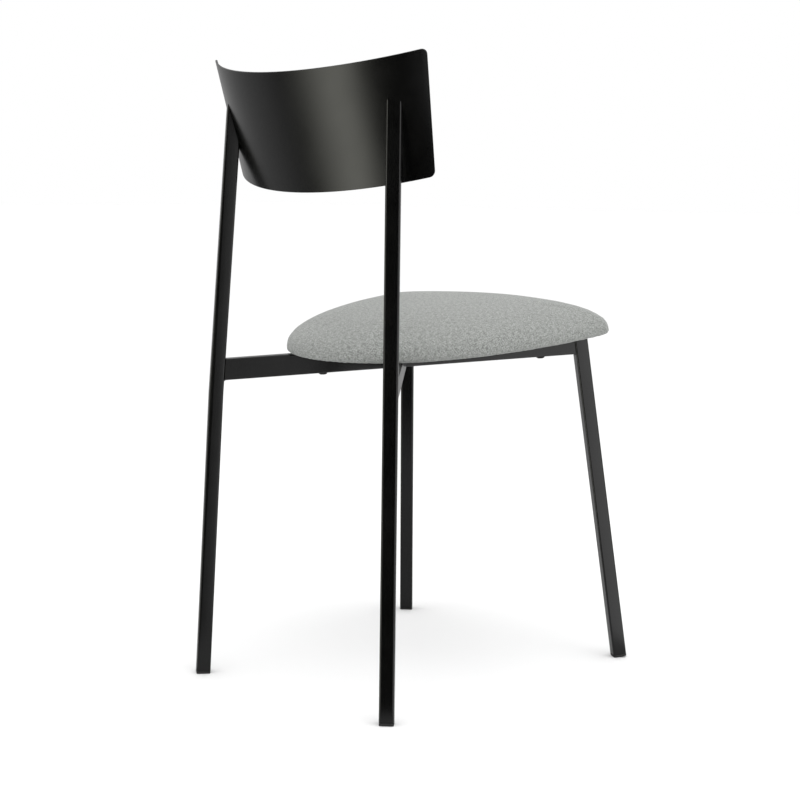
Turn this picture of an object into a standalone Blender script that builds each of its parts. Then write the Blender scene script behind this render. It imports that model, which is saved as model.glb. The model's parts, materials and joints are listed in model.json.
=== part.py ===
"""Dining chair: four square steel legs on an X of two crossed rails, a rolled steel backrest
and an upholstered seat pad bolted down through the rails.

Metres, +Z up. The chair faces -Y and its left side is +X. The origin is on the floor, under
the middle of the chair's box. Each diagonal of the X is drawn in a frame of its own, with
+X towards the front leg, so a leg or a rail is a path in that frame's XZ plane.
"""

import math

import bmesh
import bpy
from mathutils import Matrix, Vector

# Clearances
GAP = 0.0003  # between pieces that touch
BOLT_CLEARANCE = 0.0004  # all round a bolt, in the holes that it passes

# Frame
DIAGONAL_ANGLE = math.radians(38.7)  # each diagonal of the X, from the fore-and-aft line
REAR_FOOT_REACH = 0.2552  # crossing to the middle of a rear foot, along the diagonal
FRONT_FOOT_REACH = 0.3050
TUBE_SIDE = 0.018
TUBE_WALL = 0.0015
TUBE_CORNER = 0.0022  # outer corner radius of the legs and rails
RAIL_HEIGHT = 0.0272
RAIL_TOP = 0.4237  # top of the rails where they cross
RAIL_SLOPE = 0.0647  # rise towards the front, per metre along a rail
REAR_LEAN_LOWER = math.radians(2.79)  # towards the middle, below the kink
REAR_LEAN_UPPER = math.radians(3.83)
KINK_BELOW_RAIL = 0.015
FRONT_TOP_INSET = 0.0315  # from the pad's widest line in to the middle of a front leg's top

# Feet and leg ends
GLIDE_FOOT = 0.0035  # height of plastic under the tube
GLIDE_FLAT = 0.0004  # taken off the lowest edge of its underside, which is square to the leg
GLIDE_PLUG = 0.016
CAP_PLATE = 0.0016
CAP_PLUG = 0.012
PLUG_CLEARANCE = 0.0003
SMALLEST_CORNER = 0.0004  # of a tube's or a plug's inner corner

# Backrest
BACK_THICKNESS = 0.0025
BACK_RADIUS = 0.2414  # to the middle of the sheet
BACK_HEIGHT = 0.1477
BACK_HALF_ARC = 0.1856  # half of the width along the sheet, at half height
BACK_FLARE = 0.131  # growth of the half arc per metre of height
BACK_CORNER = 0.0068
BACK_EDGE_RISE = 0.0015  # how much higher both long edges are at their ends
BACK_TILT = math.radians(18.6)
BACK_CENTRE = 0.6903  # height of the sheet's middle
LEG_MEETS = 0.0111  # height above that at which the rear legs' middle lines meet the sheet
LEG_CUT_WIDTH = 1.2  # the cut that ends the rear legs, as a share of the sheet's width
LEG_CUT_DEPTH = 0.07
LEG_CUT_EXTRA = 0.037  # its height past each of the sheet's long edges

# Seat pad, as heights above the rails' top plane
SEAT_FRONT = 0.2572  # crossing to the front edge
SEAT_REAR = 0.1410
SEAT_HALF_WIDTH = 0.1955
SEAT_WIDEST = 0.1816  # how far in front of the crossing the pad is widest
FRONT_HANDLE = 0.402  # pull of the outline's curves, as shares of their spans
FRONT_SIDE_HANDLE = 0.487
REAR_SIDE_HANDLE = 0.338
REAR_HANDLE = 0.843
PAD_MIDDLE = 0.050  # the point that the pad's crown is centred on, in front of the crossing
PAD_BELLY = 0.0095  # height of the widest line
PAD_CROWN = 0.0431  # rise of the crown above the widest line
PAD_FULLNESS = 2.74  # a higher power gives a flatter top and a tighter edge
PAD_TUCK = 0.035  # share that the lower edge is drawn in by
COVER_THICKNESS = 0.0012
COVER_TURN_IN = 0.13  # share of the way in that the cover reaches under the board
BOARD_THICKNESS = 0.010
BOARD_SHARE = 0.935  # of the widest line
FOAM_SHARE = 0.99
DUST_THICKNESS = 0.0008
DUST_SHARE = 0.90

# Fasteners
REAR_BOLT_REACH = 0.102  # crossing to a bolt, along the rail
FRONT_BOLT_REACH = 0.186
BOLT_DIAMETER = 0.006
BOLT_POINT = 0.0008  # chamfer of the tip
BOLT_SHORT = 0.0022  # from the tip up to the board's top
BOLT_HEAD_DIAMETER = 0.0110
BOLT_HEAD_FACE = 0.0078  # diameter of the flat round the socket
BOLT_HEAD_HEIGHT = 0.0022
BOLT_HEAD_RIM = 0.0010  # height of the head's cylindrical rim
SOCKET_ACROSS = 0.004
SOCKET_DEPTH = 0.0014
NUT_BARREL = 0.0082
NUT_FLANGE = 0.019
NUT_FLANGE_THICKNESS = 0.0012
NUT_LENGTH = 0.0085
NUT_SUNK = 0.0004  # below the board's top
CUT_PAST = 0.001  # how far a cutter reaches past what it opens

# Mesh resolution
CORNER_STEPS = 3
OUTLINE_STEPS = 16  # per quarter of the pad's outline
EDGE_STEPS = 3  # from the pad's underside up to its widest line
CROWN_STEPS = 12  # from the widest line up to the middle
SHEET_COLUMNS = 32
SHEET_CORNER_STEPS = 5
SHEET_ROWS = 4
ROUND_STEPS = 16
SHARP_ANGLE = math.radians(40)


def clear_scene():
    for obj in list(bpy.data.objects):
        bpy.data.objects.remove(obj, do_unlink=True)


def make_material(name, colour, roughness, metallic=0.0):
    material = bpy.data.materials.new(name)
    material.use_nodes = True
    shader = material.node_tree.nodes["Principled BSDF"]
    shader.inputs["Base Color"].default_value = (*colour, 1.0)
    shader.inputs["Roughness"].default_value = roughness
    shader.inputs["Metallic"].default_value = metallic
    return material


def make_object(name, mesh_data, material, parent=None, smooth=False):
    """A finished bmesh as a named object with outward normals."""
    bmesh.ops.recalc_face_normals(mesh_data, faces=mesh_data.faces)
    mesh = bpy.data.meshes.new(name)
    mesh_data.to_mesh(mesh)
    mesh_data.free()
    mesh.materials.append(material)
    if smooth:
        mesh.shade_smooth()
        mesh.set_sharp_from_angle(angle=SHARP_ANGLE)
    obj = bpy.data.objects.new(name, mesh)
    bpy.context.scene.collection.objects.link(obj)
    obj.parent = parent
    return obj


def make_empty(name, parent=None, turn=0.0):
    empty = bpy.data.objects.new(name, None)
    bpy.context.scene.collection.objects.link(empty)
    empty.parent = parent
    empty.rotation_euler.z = turn
    return empty


def cut(obj, cutter):
    """Takes the cutter's shape out of the object."""
    cutter.hide_render = True
    cutter.display_type = "WIRE"
    modifier = obj.modifiers.new("cut_" + cutter.name, "BOOLEAN")
    modifier.operation = "DIFFERENCE"
    modifier.solver = "EXACT"
    modifier.object = cutter


# Loops and skins


def bridge(mesh_data, ring, after):
    for i in range(len(ring)):
        j = (i + 1) % len(ring)
        mesh_data.faces.new((ring[i], ring[j], after[j], after[i]))


def skin(mesh_data, loops, ends="capped"):
    """Quads between each loop of points and the next. The ends are capped, or joined to each other."""
    rings = [[mesh_data.verts.new(point) for point in loop] for loop in loops]
    for ring, after in zip(rings, rings[1:]):
        bridge(mesh_data, ring, after)
    if ends == "joined":
        bridge(mesh_data, rings[-1], rings[0])
    else:
        mesh_data.faces.new(rings[0])
        mesh_data.faces.new(rings[-1])


def rounded_rectangle(width, height, radius):
    """Points round a rectangle centred on the origin, with round corners."""
    points = []
    for corner in range(4):
        middle_x = (width / 2 - radius) * (1, -1, -1, 1)[corner]
        middle_y = (height / 2 - radius) * (1, 1, -1, -1)[corner]
        for step in range(CORNER_STEPS + 1):
            angle = math.pi / 2 * (corner + step / CORNER_STEPS)
            points.append((middle_x + radius * math.cos(angle), middle_y + radius * math.sin(angle)))
    return points


def slid_to_plane(section, start, along, plane):
    """The section's points, each slid along its tube until it meets the plane."""
    point, normal = plane
    side = Vector((along.z, 0.0, -along.x))
    loop = []
    for offset, across in section:
        origin = start + side * offset + Vector((0.0, across, 0.0))
        distance = (point - origin).dot(normal) / along.dot(normal)
        loop.append(origin + along * distance)
    return loop


def swept(section, path, planes):
    """One loop of the section at each plane, along a path with one straight run between planes."""
    loops = []
    for index, plane in enumerate(planes):
        run = min(index, len(path) - 2)
        along = (path[run + 1] - path[run]).normalized()
        loops.append(slid_to_plane(section, path[run], along, plane))
    return loops


def mitre(path, index):
    """The plane that halves the bend at a point of the path."""
    before = (path[index] - path[index - 1]).normalized()
    after = (path[index + 1] - path[index]).normalized()
    return path[index], (before + after).normalized()


def tube_section(height, inset=0.0):
    radius = max(TUBE_CORNER - inset, SMALLEST_CORNER)
    return rounded_rectangle(height - 2 * inset, TUBE_SIDE - 2 * inset, radius)


def make_tube(name, height, path, planes, material, parent):
    """An open tube of the frame's width, with its ends cut to the first and last planes."""
    mesh_data = bmesh.new()
    outer = swept(tube_section(height), path, planes)
    inner = swept(tube_section(height, TUBE_WALL), path, planes)
    skin(mesh_data, outer + inner[::-1], ends="joined")
    return make_object(name, mesh_data, material, parent, smooth=True)


# Layout of one diagonal, in its own frame

FLOOR_NORMAL = Vector((0.0, 0.0, 1.0))
RAIL_ALONG = Vector((1.0, 0.0, RAIL_SLOPE)).normalized()
RAIL_NORMAL = Vector((-RAIL_ALONG.z, 0.0, RAIL_ALONG.x))
CROSSING_TOP = Vector((0.0, 0.0, RAIL_TOP))
RAIL_MIDDLE = CROSSING_TOP - RAIL_NORMAL * (RAIL_HEIGHT / 2)


def point_at(reach, height):
    return Vector((reach, 0.0, height))


def rear_leg_path():
    """Foot, kink and a top well past the backrest, which then cuts it."""
    rail_bottom = RAIL_TOP - RAIL_HEIGHT - RAIL_SLOPE * REAR_FOOT_REACH
    kink_height = rail_bottom - KINK_BELOW_RAIL
    foot = point_at(-REAR_FOOT_REACH, 0.0)
    kink = foot + point_at(math.tan(REAR_LEAN_LOWER) * kink_height, kink_height)
    rise = BACK_CENTRE + BACK_HEIGHT / 2 - kink_height
    top = kink + point_at(math.tan(REAR_LEAN_UPPER) * rise, rise)
    return [foot, kink, top]


def front_leg_path():
    foot = point_at(FRONT_FOOT_REACH, 0.0)
    return [foot, point_at(pad_reach() - FRONT_TOP_INSET, RAIL_TOP)]


def leg_face(path, toward_crossing):
    """The plane just off a leg's inner face, which a rail's end is cut to."""
    along = (path[-1] - path[-2]).normalized()
    normal = Vector((along.z, 0.0, -along.x)) * toward_crossing
    return path[-1] + normal * (TUBE_SIDE / 2 + GAP), normal


def front_leg_top():
    """The plane that a front leg is cut to, low enough for its cap to be level with the rails."""
    return CROSSING_TOP - RAIL_NORMAL * (CAP_PLATE + GAP), RAIL_NORMAL


def foot_plane(path, rise=0.0):
    """Square to the leg, that far above the plane whose lowest edge is a little under the floor."""
    along = (path[1] - path[0]).normalized()
    lean = math.acos(along.z)
    start = (TUBE_SIDE / 2 * math.sin(lean) - GLIDE_FLAT) / along.z
    return path[0] + along * (start + rise), along


# Legs, rails and what closes their ends


def make_rear_leg(side, material, parent, back_space):
    path = rear_leg_path()
    planes = [foot_plane(path, GLIDE_FOOT), mitre(path, 1), (path[2], FLOOR_NORMAL)]
    leg = make_tube("leg_rear_" + side, TUBE_SIDE, path, planes, material, parent)
    cut(leg, back_space)
    return leg


def make_front_leg(side, material, parent):
    path = front_leg_path()
    planes = [foot_plane(path, GLIDE_FOOT), front_leg_top()]
    return make_tube("leg_front_" + side, TUBE_SIDE, path, planes, material, parent)


def make_rail(name, ends, material, parent):
    path = [RAIL_MIDDLE, RAIL_MIDDLE + RAIL_ALONG]
    return make_tube(name, RAIL_HEIGHT, path, ends, material, parent)


def plugged_end(path, plate, plug_end):
    """A plastic end piece: a plate as wide as the tube, and a plug that fits inside it."""
    mesh_data = bmesh.new()
    plate_loops = swept(tube_section(TUBE_SIDE), path, plate)
    plug = tube_section(TUBE_SIDE, TUBE_WALL + PLUG_CLEARANCE)
    plug_loops = swept(plug, path, [plate[-1], plug_end])
    skin(mesh_data, plate_loops + plug_loops)
    return mesh_data


def make_glide(name, path, material, parent):
    """A plugged foot, square to its leg, with a narrow flat where it stands on the floor."""
    path = path[:2]
    plate = [foot_plane(path), foot_plane(path, GLIDE_FOOT - GAP)]
    mesh_data = plugged_end(path, plate, foot_plane(path, GLIDE_FOOT + GLIDE_PLUG))
    bmesh.ops.recalc_face_normals(mesh_data, faces=mesh_data.faces)
    geometry = mesh_data.verts[:] + mesh_data.edges[:] + mesh_data.faces[:]
    halves = bmesh.ops.bisect_plane(
        mesh_data, geom=geometry, plane_co=(0.0, 0.0, 0.0), plane_no=-FLOOR_NORMAL, clear_outer=True
    )
    rim = [item for item in halves["geom_cut"] if isinstance(item, bmesh.types.BMEdge)]
    bmesh.ops.contextual_create(mesh_data, geom=rim)
    return make_object(name, mesh_data, material, parent, smooth=True)


def make_front_cap(side, material, parent):
    plate = [(CROSSING_TOP, RAIL_NORMAL), (CROSSING_TOP - RAIL_NORMAL * CAP_PLATE, RAIL_NORMAL)]
    plug_end = (CROSSING_TOP - RAIL_NORMAL * (CAP_PLATE + CAP_PLUG), RAIL_NORMAL)
    mesh_data = plugged_end(front_leg_path(), plate, plug_end)
    return make_object("leg_cap_front_" + side, mesh_data, material, parent, smooth=True)


# Backrest


def back_middle():
    """The sheet's middle, as far back as makes its rear face meet the rear legs at LEG_MEETS."""
    kink, top = rear_leg_path()[1:]
    height = BACK_CENTRE + LEG_MEETS
    reach = -kink.x + (kink.x - top.x) * (height - kink.z) / (top.z - kink.z)
    across = reach * math.sin(DIAGONAL_ANGLE)
    behind = math.sqrt((BACK_RADIUS + BACK_THICKNESS / 2) ** 2 - across**2) - BACK_RADIUS
    set_back = (behind + LEG_MEETS * math.sin(BACK_TILT)) / math.cos(BACK_TILT)
    return Vector((0.0, reach * math.cos(DIAGONAL_ANGLE) - set_back, BACK_CENTRE))


def back_point(arc, height, behind=0.0):
    """A point of the bent sheet, by its arc length from the middle and its height along the sheet."""
    angle = arc / BACK_RADIUS
    radius = BACK_RADIUS + behind
    up = Vector((0.0, math.sin(BACK_TILT), math.cos(BACK_TILT)))
    back = Vector((0.0, math.cos(BACK_TILT), -math.sin(BACK_TILT)))
    axis = back_middle() - back * BACK_RADIUS + up * height
    return axis + Vector((radius * math.sin(angle), 0.0, 0.0)) + back * radius * math.cos(angle)


def back_half_height(share):
    """Half of the sheet's height at a share of its half width, lower in the round corners."""
    past = max(0.0, abs(share) * BACK_HALF_ARC - (BACK_HALF_ARC - BACK_CORNER))
    drop = BACK_CORNER - math.sqrt(max(BACK_CORNER**2 - past**2, 0.0))
    return BACK_HEIGHT / 2 - drop


def back_shares():
    """Places of the sheet's columns from -1 to 1, closer together in the corners."""
    inner = 1.0 - BACK_CORNER / BACK_HALF_ARC
    middle = [inner * (2 * i / SHEET_COLUMNS - 1) for i in range(SHEET_COLUMNS + 1)]
    quarter = math.pi / 2 / SHEET_CORNER_STEPS
    corner = [inner + (1 - inner) * math.sin(quarter * (i + 1)) for i in range(SHEET_CORNER_STEPS)]
    return [-share for share in reversed(corner)] + middle + corner


def back_columns(shares, grow=0.0):
    """Upper and lower (arc, height) of each column of the sheet."""
    columns = []
    for share in shares:
        half = back_half_height(share) + grow
        rise = BACK_EDGE_RISE * share**2
        ends = []
        for height in (rise - half, rise + half):
            ends.append((share * (BACK_HALF_ARC + BACK_FLARE * height), height))
        columns.append(ends)
    return columns


def make_bent_plate(name, columns, front, rear, material, parent):
    """A closed plate over the columns, from one offset of the bent surface to another."""
    mesh_data = bmesh.new()
    sides = []
    for offset in (front, rear):
        grid = []
        for (low_arc, low), (high_arc, high) in columns:
            line = []
            for row in range(SHEET_ROWS + 1):
                share = row / SHEET_ROWS
                arc = low_arc + (high_arc - low_arc) * share
                line.append(mesh_data.verts.new(back_point(arc, low + (high - low) * share, offset)))
            grid.append(line)
        for line, after in zip(grid, grid[1:]):
            for row in range(SHEET_ROWS):
                mesh_data.faces.new((line[row], line[row + 1], after[row + 1], after[row]))
        sides.append(grid)
    rims = [
        grid[0] + [line[-1] for line in grid[1:]] + grid[-1][-2::-1] + [line[0] for line in grid[-2:0:-1]]
        for grid in sides
    ]
    bridge(mesh_data, *rims)
    return make_object(name, mesh_data, material, parent, smooth=True)


def make_backrest(material, parent):
    half = BACK_THICKNESS / 2
    return make_bent_plate("backrest_sheet", back_columns(back_shares()), -half, half, material, parent)


def make_back_space(material, parent):
    """The space that the rear legs keep out of: all in front of the sheet's rear face, and the gap."""
    shares = [LEG_CUT_WIDTH * (2 * i / SHEET_COLUMNS - 1) for i in range(SHEET_COLUMNS + 1)]
    columns = back_columns(shares, grow=LEG_CUT_EXTRA)
    rear = BACK_THICKNESS / 2 + GAP
    return make_bent_plate("back_space", columns, rear - LEG_CUT_DEPTH, rear, material, parent)


# Seat pad

SEAT_SLOPE = RAIL_SLOPE / math.cos(DIAGONAL_ANGLE)  # rise per metre towards the front
SIDE_SLOPE = SEAT_SLOPE * math.sin(DIAGONAL_ANGLE)  # the same, across a rail
PAD_LIFT = TUBE_SIDE / 2 * SIDE_SLOPE + GAP  # clears the rails' upper edges
DUST_TOP = PAD_LIFT + DUST_THICKNESS
COVER_BOTTOM = DUST_TOP + GAP
BOARD_BOTTOM = COVER_BOTTOM + COVER_THICKNESS + GAP
BOARD_TOP = BOARD_BOTTOM + BOARD_THICKNESS


def bezier(start, start_pull, end_pull, end, steps):
    points = []
    for step in range(steps):
        t = step / steps
        u = 1 - t
        points.append(start * u**3 + start_pull * 3 * u * u * t + end_pull * 3 * u * t * t + end * t**3)
    return points


def pad_outline():
    """The pad's widest line in plan: one curve to the widest point on each side, and one to the rear."""
    front = Vector((0.0, -SEAT_FRONT))
    side = Vector((SEAT_HALF_WIDTH, -SEAT_WIDEST))
    rear = Vector((0.0, SEAT_REAR))
    front_pull = front + Vector((FRONT_HANDLE * SEAT_HALF_WIDTH, 0.0))
    side_pull = side - Vector((0.0, FRONT_SIDE_HANDLE * (SEAT_FRONT - SEAT_WIDEST)))
    back_pull = side + Vector((0.0, REAR_SIDE_HANDLE * (SEAT_REAR + SEAT_WIDEST)))
    rear_pull = rear + Vector((REAR_HANDLE * SEAT_HALF_WIDTH, 0.0))
    left = bezier(front, front_pull, side_pull, side, OUTLINE_STEPS)
    left += bezier(side, back_pull, rear_pull, rear, OUTLINE_STEPS)
    right = [Vector((-point.x, point.y)) for point in left[1:]]
    return left + [rear] + right[::-1]


def pad_reach():
    """How far the widest line is from the crossing, along the diagonal to a front leg."""
    along = Vector((math.sin(DIAGONAL_ANGLE), -math.cos(DIAGONAL_ANGLE)))
    outline = pad_outline()
    for start, end in zip(outline, outline[1:]):
        before = along.cross(start)
        after = along.cross(end)
        if before <= 0 < after:
            return along.dot(start.lerp(end, before / (before - after)))


def seat_point(point, height):
    """A point above the seat plane, which rises towards the front."""
    return Vector((point.x, point.y, RAIL_TOP + height - SEAT_SLOPE * point.y))


def pad_loop(share, height, inset=0.0):
    """The outline drawn in towards the pad's middle, at a height above the seat plane."""
    middle = Vector((0.0, -PAD_MIDDLE))
    scale = share * (1 - inset / SEAT_HALF_WIDTH)
    return [seat_point(middle + (point - middle) * scale, height) for point in pad_outline()]


def lower_edge(inset, lowest):
    """(share, height, inset) of each loop of the rounded edge, from the underside up to the widest line."""
    rows = []
    for step in range(EDGE_STEPS + 1):
        angle = math.pi / 2 * step / EDGE_STEPS
        share = 1 - PAD_TUCK * (1 - math.sin(angle))
        rows.append((share, lowest + (PAD_BELLY - lowest) * (1 - math.cos(angle)), inset))
    return rows


def crown_share(angle):
    """The crown's width as a share of the widest line, from 0 at that line to a quarter turn on top."""
    return math.cos(angle) ** (2 / PAD_FULLNESS)


def crown(inset):
    """(share, height, inset) of each loop above the widest line, nearly up to the middle."""
    rows = []
    for step in range(1, CROWN_STEPS):
        angle = math.pi / 2 * step / CROWN_STEPS
        rows.append((crown_share(angle), PAD_BELLY + PAD_CROWN * math.sin(angle) - inset, inset))
    return rows


def make_cover(material, parent):
    """The fabric: over the crown, round the edge and in under the board, open in the middle below."""
    outer = [(1 - COVER_TURN_IN, COVER_BOTTOM, 0.0)]
    outer += lower_edge(0.0, COVER_BOTTOM) + crown(0.0)
    lining = COVER_BOTTOM + COVER_THICKNESS
    inner = [(1 - COVER_TURN_IN, lining, COVER_THICKNESS)]
    inner += lower_edge(COVER_THICKNESS, lining) + crown(COVER_THICKNESS)
    mesh_data = bmesh.new()
    skin(mesh_data, [pad_loop(*row) for row in outer[::-1] + inner])
    return make_object("seat_cover", mesh_data, material, parent, smooth=True)


def make_pad_piece(name, rows, material, parent):
    mesh_data = bmesh.new()
    skin(mesh_data, [pad_loop(*row) for row in rows])
    return make_object(name, mesh_data, material, parent, smooth=True)


def make_foam(material, parent):
    """The foam block, from the board up to just under the cover."""
    inset = COVER_THICKNESS + GAP
    lowest = BOARD_TOP + GAP
    angle = math.asin(max(0.0, lowest + inset - PAD_BELLY) / PAD_CROWN)
    rows = [(FOAM_SHARE * crown_share(angle), lowest, inset)]
    rows += [row for row in crown(inset) if row[1] > lowest + GAP]
    return make_pad_piece("seat_foam", rows, material, parent)


def make_board(material, parent):
    rows = [(BOARD_SHARE, BOARD_BOTTOM, 0.0), (BOARD_SHARE, BOARD_TOP, 0.0)]
    return make_pad_piece("seat_board", rows, material, parent)


def make_dust_cover(material, parent):
    rows = [(DUST_SHARE, PAD_LIFT, 0.0), (DUST_SHARE, DUST_TOP, 0.0)]
    return make_pad_piece("dust_cover", rows, material, parent)


# Fasteners, each turned about its own axis, from the top down


def turned(name, profile, material, parent, place, ends="capped"):
    """A round piece from (radius, height) pairs, its axis along the place's Z."""
    mesh_data = bmesh.new()
    loops = []
    for radius, height in profile:
        loop = []
        for step in range(ROUND_STEPS):
            angle = 2 * math.pi * step / ROUND_STEPS
            loop.append(Vector((radius * math.cos(angle), radius * math.sin(angle), height)))
        loops.append(loop)
    skin(mesh_data, loops, ends)
    obj = make_object(name, mesh_data, material, parent, smooth=True)
    obj.matrix_local = place
    return obj


def bolt_place(reach):
    """On the underside of a rail, square to it, with Z pointing up through the rail."""
    under = CROSSING_TOP + RAIL_ALONG * reach - RAIL_NORMAL * RAIL_HEIGHT
    across = Vector((0.0, 1.0, 0.0))
    turn = Matrix((RAIL_ALONG, across, RAIL_NORMAL)).transposed()
    return Matrix.Translation(under) @ turn.to_4x4()


def make_socket(material, parent, place, head_low):
    """The six-sided cutter that sinks a bolt's socket."""
    mesh_data = bmesh.new()
    radius = SOCKET_ACROSS / math.sqrt(3)
    corners = [(radius * math.cos(math.pi / 3 * i), radius * math.sin(math.pi / 3 * i)) for i in range(6)]
    heights = (head_low - CUT_PAST, head_low + SOCKET_DEPTH)
    skin(mesh_data, [[Vector((x, y, height)) for x, y in corners] for height in heights])
    cutter = make_object("socket_cutter", mesh_data, material, parent)
    cutter.matrix_local = place
    return cutter


def make_bolt(label, material, parent, place):
    """A low round-headed bolt, up through a rail and into its nut."""
    head_low = -GAP - BOLT_HEAD_HEIGHT
    tip = RAIL_HEIGHT + BOARD_TOP - BOLT_SHORT
    radius = BOLT_DIAMETER / 2
    head = BOLT_HEAD_DIAMETER / 2
    profile = [(BOLT_HEAD_FACE / 2, head_low), (head, -GAP - BOLT_HEAD_RIM), (head, -GAP)]
    profile += [(radius, -GAP), (radius, tip - BOLT_POINT), (radius - BOLT_POINT, tip)]
    bolt = turned("seat_bolt_" + label, profile, material, parent, place)
    cut(bolt, make_socket(material, parent, place, head_low))


def make_nut(label, material, parent, place):
    """A tee nut, its flange in the board's top and its barrel down round the bolt."""
    top = RAIL_HEIGHT + BOARD_TOP - NUT_SUNK
    flange = NUT_FLANGE / 2
    barrel = NUT_BARREL / 2
    bore = BOLT_DIAMETER / 2 + BOLT_CLEARANCE
    under = top - NUT_FLANGE_THICKNESS
    profile = [(flange, top), (flange, under), (barrel, under), (barrel, top - NUT_LENGTH)]
    profile += [(bore, top - NUT_LENGTH), (bore, top)]
    turned("tee_nut_" + label, profile, material, parent, place, ends="joined")


def make_holes(label, material, parent, place, rail, pierced):
    """The bolt's hole through the rail, and the stepped hole round the nut in what lies above it."""
    bore = BOLT_DIAMETER / 2 + BOLT_CLEARANCE
    through = [(bore, -CUT_PAST), (bore, RAIL_HEIGHT + CUT_PAST)]
    cut(rail, turned("bolt_hole_" + label, through, material, parent, place))
    board_top = RAIL_HEIGHT + BOARD_TOP
    step = board_top - NUT_SUNK - NUT_FLANGE_THICKNESS - GAP
    barrel = NUT_BARREL / 2 + GAP
    flange = NUT_FLANGE / 2 + GAP
    profile = [(barrel, RAIL_HEIGHT - CUT_PAST), (barrel, step), (flange, step), (flange, board_top + CUT_PAST)]
    hole = turned("nut_hole_" + label, profile, material, parent, place)
    for obj in pierced:
        cut(obj, hole)


# Assembly


def world_box(objects):
    """Lowest and highest corner of the objects as they are evaluated."""
    bpy.context.view_layer.update()
    graph = bpy.context.evaluated_depsgraph_get()
    corners = []
    for obj in objects:
        evaluated = obj.evaluated_get(graph)
        mesh = evaluated.to_mesh()
        corners += [evaluated.matrix_world @ vertex.co for vertex in mesh.vertices]
        evaluated.to_mesh_clear()
    low = [min(corner[axis] for corner in corners) for axis in range(3)]
    high = [max(corner[axis] for corner in corners) for axis in range(3)]
    return Vector(low), Vector(high)


def long_rail_side(diagonal_turn, other_turn, side):
    """The plane just off the long rail's side, in the frame of the diagonal that meets it."""
    across = Matrix.Rotation(other_turn - diagonal_turn, 3, "Z") @ Vector((0.0, 1.0, 0.0))
    return across * side * (TUBE_SIDE / 2 + GAP), across


def build_chair():
    clear_scene()
    materials = {
        "coat": make_material("black_powder_coat", (0.012, 0.012, 0.013), 0.42),
        "plastic": make_material("black_plastic", (0.02, 0.02, 0.02), 0.55),
        "fabric": make_material("grey_weave", (0.38, 0.40, 0.385), 0.92),
        "foam": make_material("seat_foam", (0.85, 0.80, 0.62), 0.95),
        "ply": make_material("birch_plywood", (0.66, 0.47, 0.28), 0.6),
        "felt": make_material("black_non_woven", (0.018, 0.018, 0.02), 0.95),
        "steel": make_material("black_oxide_steel", (0.03, 0.03, 0.03), 0.4, 0.9),
        "zinc": make_material("zinc_plated_steel", (0.62, 0.62, 0.60), 0.35, 1.0),
    }
    chair = make_empty("chair")
    # +X of a diagonal's frame points at its front leg: front right for the long rail's.
    long_turn = -math.pi / 2 - DIAGONAL_ANGLE
    half_turn = -math.pi / 2 + DIAGONAL_ANGLE
    long_diagonal = make_empty("long_diagonal", chair, long_turn)
    half_diagonal = make_empty("half_diagonal", chair, half_turn)

    back_space = make_back_space(materials["coat"], chair)
    make_backrest(materials["coat"], chair)
    for diagonal, rear, front in ((long_diagonal, "left", "right"), (half_diagonal, "right", "left")):
        make_rear_leg(rear, materials["coat"], diagonal, back_space)
        make_front_leg(front, materials["coat"], diagonal)
        make_glide("glide_rear_" + rear, rear_leg_path(), materials["plastic"], diagonal)
        make_glide("glide_front_" + front, front_leg_path(), materials["plastic"], diagonal)
        make_front_cap(front, materials["plastic"], diagonal)

    rear_end = leg_face(rear_leg_path(), 1)
    front_end = leg_face(front_leg_path(), -1)
    crossing = [long_rail_side(half_turn, long_turn, side) for side in (-1, 1)]
    rear_side, front_side = sorted(crossing, key=lambda plane: plane[0].x)
    long_rail = make_rail("cross_rail_long", [rear_end, front_end], materials["coat"], long_diagonal)
    rear_half = make_rail("cross_rail_half_rear", [rear_end, rear_side], materials["coat"], half_diagonal)
    front_half = make_rail("cross_rail_half_front", [front_side, front_end], materials["coat"], half_diagonal)

    make_foam(materials["foam"], chair)
    pierced = (
        make_cover(materials["fabric"], chair),
        make_board(materials["ply"], chair),
        make_dust_cover(materials["felt"], chair),
    )
    bolts = (
        ("rear_left", -REAR_BOLT_REACH, long_diagonal, long_rail),
        ("front_right", FRONT_BOLT_REACH, long_diagonal, long_rail),
        ("rear_right", -REAR_BOLT_REACH, half_diagonal, rear_half),
        ("front_left", FRONT_BOLT_REACH, half_diagonal, front_half),
    )
    for label, reach, diagonal, rail in bolts:
        place = bolt_place(reach)
        make_bolt(label, materials["steel"], diagonal, place)
        make_nut(label, materials["zinc"], diagonal, place)
        make_holes(label, materials["steel"], diagonal, place, rail, pierced)

    nodes = [obj for obj in bpy.data.objects if obj.type == "MESH" and not obj.hide_render]
    low, high = world_box(nodes)
    chair.location = (-(low.x + high.x) / 2, -(low.y + high.y) / 2, -low.z)


build_chair()
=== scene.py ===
import math
import json
import bpy
import bmesh
import numpy as np
from mathutils import Vector, Matrix, noise
from mathutils.bvhtree import BVHTree

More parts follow.
